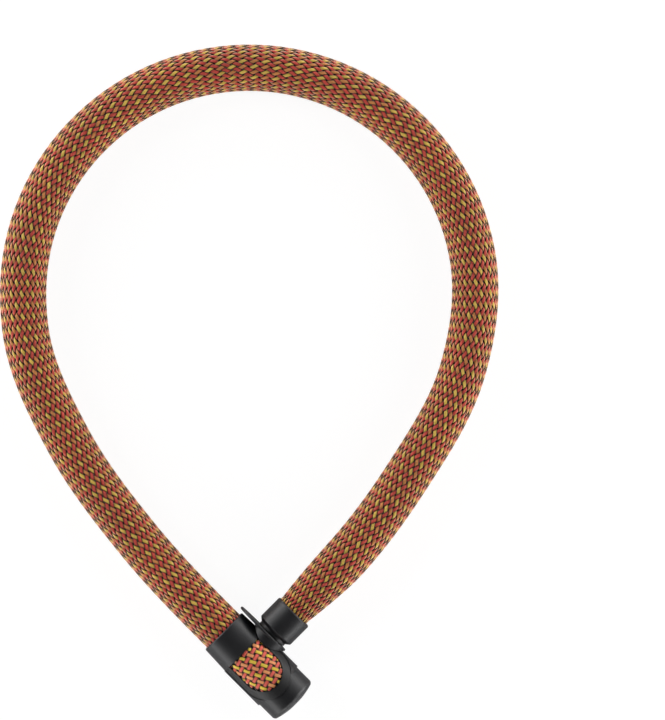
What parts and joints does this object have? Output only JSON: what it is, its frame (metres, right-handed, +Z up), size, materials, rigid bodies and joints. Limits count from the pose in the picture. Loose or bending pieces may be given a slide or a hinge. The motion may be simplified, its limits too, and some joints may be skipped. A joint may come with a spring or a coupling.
{
  "type": "sleeved chain lock",
  "caption": "Security chain in a woven textile sleeve, closed in a loop by a cylindrical lock head and a plug that enters its side; the key turns a latch and the chain swings open.",
  "frame": {"origin": "under the middle of the whole lock, on the surface it lies on", "axes": "+Z up through the flat loop, +Y from the lock head to the far side of the loop, +X to the right seen from above"},
  "size_m": [0.2886, 0.389, 0.0316],
  "materials": {
    "sleeve_weave": "plain-woven orange, red and olive yarn",
    "inlay_weave": "plain-woven coral, peach and yellow yarn",
    "head_plastic": "satin moulded black",
    "bezel_plastic": "matte moulded black",
    "plug_plastic": "satin moulded black",
    "core_steel": "hardened, machined",
    "chain_steel": "hardened, zinc plated",
    "cylinder_nickel": "nickel plated",
    "disc_brass": "turned",
    "seal_rubber": "matte",
    "pin_steel": "ground"
  },
  "bodies": {
    "lock_head": {"sleeve_collar": "head_plastic", "housing_shell": "head_plastic", "window_bezel": "bezel_plastic", "inlay_carrier": "bezel_plastic", "window_inlay": "inlay_weave", "key_end_cap": "head_plastic", "socket_flange": "head_plastic", "cover_pins": "pin_steel", "lock_core": "core_steel", "socket_bush": "disc_brass", "chain_anchor": "core_steel", "anchor_pin": "pin_steel", "sleeve_head_end": "sleeve_weave", "sleeve_clamp_head": "pin_steel", "cylinder_housing": "cylinder_nickel", "cylinder_pin": "pin_steel"},
    "key_rotor": {"cylinder_rotor": "cylinder_nickel", "locking_discs": "disc_brass", "side_bar": "cylinder_nickel", "rotor_cam": "cylinder_nickel"},
    "latch": {"latch_plate": "core_steel"},
    "chain_01": {"chain_links_01": "chain_steel", "sleeve_01": "sleeve_weave"},
    "chain_02": {"chain_links_02": "chain_steel", "sleeve_02": "sleeve_weave"},
    "chain_03": {"chain_links_03": "chain_steel", "sleeve_03": "sleeve_weave"},
    "chain_04": {"chain_links_04": "chain_steel", "sleeve_04": "sleeve_weave"},
    "chain_05": {"chain_links_05": "chain_steel", "sleeve_05": "sleeve_weave"},
    "chain_06": {"chain_links_06": "chain_steel", "sleeve_06": "sleeve_weave"},
    "chain_07": {"chain_links_07": "chain_steel", "sleeve_07": "sleeve_weave"},
    "chain_08": {"chain_links_08": "chain_steel", "sleeve_08": "sleeve_weave"},
    "chain_09": {"chain_links_09": "chain_steel", "sleeve_09": "sleeve_weave"},
    "chain_10": {"chain_links_10": "chain_steel", "sleeve_10": "sleeve_weave"},
    "chain_11": {"chain_links_11": "chain_steel", "sleeve_11": "sleeve_weave"},
    "chain_12": {"chain_links_12": "chain_steel", "sleeve_12": "sleeve_weave"},
    "plug": {"plug_bolt": "core_steel", "plug_cap": "plug_plastic", "plug_neck": "plug_plastic", "neck_seal": "seal_rubber", "cap_pin": "pin_steel", "sleeve_clamp_plug": "pin_steel", "sleeve_plug_end": "sleeve_weave"}
  },
  "joints": [
    {"name": "key_turn", "type": "hinge", "parent": "lock_head", "child": "key_rotor", "pos_m": [0.01414, -0.17307, 0.016], "axis": [0.7071, -0.7071, 0], "range_deg": [0, 90]},
    {"name": "latch_slide", "type": "slide", "parent": "lock_head", "child": "latch", "axis": [0, 0, 1], "range_m": [0, 0.00213]},
    {"name": "chain_pivot_00", "type": "hinge", "parent": "lock_head", "child": "chain_01", "pos_m": [-0.01626, -0.14266, 0.016], "axis": [0, 0, 1], "range_deg": [-11.5, 0]},
    {"name": "chain_pivot_01", "type": "hinge", "parent": "chain_01", "child": "chain_02", "pos_m": [-0.06563, -0.08951, 0.0135], "axis": [0, 0, 1], "range_deg": [-4.42, 0]},
    {"name": "chain_pivot_02", "type": "hinge", "parent": "chain_02", "child": "chain_03", "pos_m": [-0.10469, -0.03375, 0.0135], "axis": [0, 0, 1], "range_deg": [0, 2.78]},
    {"name": "chain_pivot_03", "type": "hinge", "parent": "chain_03", "child": "chain_04", "pos_m": [-0.12914, 0.02945, 0.0135], "axis": [0, 0, 1], "range_deg": [0, 8.46]},
    {"name": "chain_pivot_04", "type": "hinge", "parent": "chain_04", "child": "chain_05", "pos_m": [-0.12234, 0.09648, 0.0135], "axis": [0, 0, 1], "range_deg": [0, 8.75]},
    {"name": "chain_pivot_05", "type": "hinge", "parent": "chain_05", "child": "chain_06", "pos_m": [-0.08309, 0.15123, 0.0135], "axis": [0, 0, 1], "range_deg": [0, 5.83]},
    {"name": "chain_pivot_06", "type": "hinge", "parent": "chain_06", "child": "chain_07", "pos_m": [-0.0218, 0.17918, 0.0135], "axis": [0, 0, 1], "range_deg": [0, 3.29]},
    {"name": "chain_pivot_07", "type": "hinge", "parent": "chain_07", "child": "chain_08", "pos_m": [0.04528, 0.17292, 0.0135], "axis": [0, 0, 1], "range_deg": [0, 1.26]},
    {"name": "chain_pivot_08", "type": "hinge", "parent": "chain_08", "child": "chain_09", "pos_m": [0.10034, 0.13412, 0.0135], "axis": [0, 0, 1], "range_deg": [-1.51, 0]},
    {"name": "chain_pivot_09", "type": "hinge", "parent": "chain_09", "child": "chain_10", "pos_m": [0.12879, 0.07305, 0.0135], "axis": [0, 0, 1], "range_deg": [-4.83, 0]},
    {"name": "chain_pivot_10", "type": "hinge", "parent": "chain_10", "child": "chain_11", "pos_m": [0.12309, 0.00592, 0.0135], "axis": [0, 0, 1], "range_deg": [-5.76, 0]},
    {"name": "chain_pivot_11", "type": "hinge", "parent": "chain_11", "child": "chain_12", "pos_m": [0.09164, -0.05428, 0.0135], "axis": [0, 0, 1], "range_deg": [-3.25, 0]},
    {"name": "chain_pivot_12", "type": "hinge", "parent": "chain_12", "child": "plug", "pos_m": [0.04686, -0.11133, 0.016], "axis": [0, 0, 1], "range_deg": [0, 0.94]}
  ],
  "couplings": [
    {"joint": "latch_slide", "follows": "key_turn", "m_per_rad": 0.0013505},
    {"joint": "chain_pivot_01", "follows": "chain_pivot_00", "ratio": 0.38308},
    {"joint": "chain_pivot_02", "follows": "chain_pivot_00", "ratio": -0.24013},
    {"joint": "chain_pivot_03", "follows": "chain_pivot_00", "ratio": -0.73396},
    {"joint": "chain_pivot_04", "follows": "chain_pivot_00", "ratio": -0.75974},
    {"joint": "chain_pivot_05", "follows": "chain_pivot_00", "ratio": -0.50582},
    {"joint": "chain_pivot_06", "follows": "chain_pivot_00", "ratio": -0.28514},
    {"joint": "chain_pivot_07", "follows": "chain_pivot_00", "ratio": -0.10842},
    {"joint": "chain_pivot_08", "follows": "chain_pivot_00", "ratio": 0.13038},
    {"joint": "chain_pivot_09", "follows": "chain_pivot_00", "ratio": 0.41912},
    {"joint": "chain_pivot_10", "follows": "chain_pivot_00", "ratio": 0.49941},
    {"joint": "chain_pivot_11", "follows": "chain_pivot_00", "ratio": 0.28158},
    {"joint": "chain_pivot_12", "follows": "chain_pivot_00", "ratio": -0.08037}
  ]
}
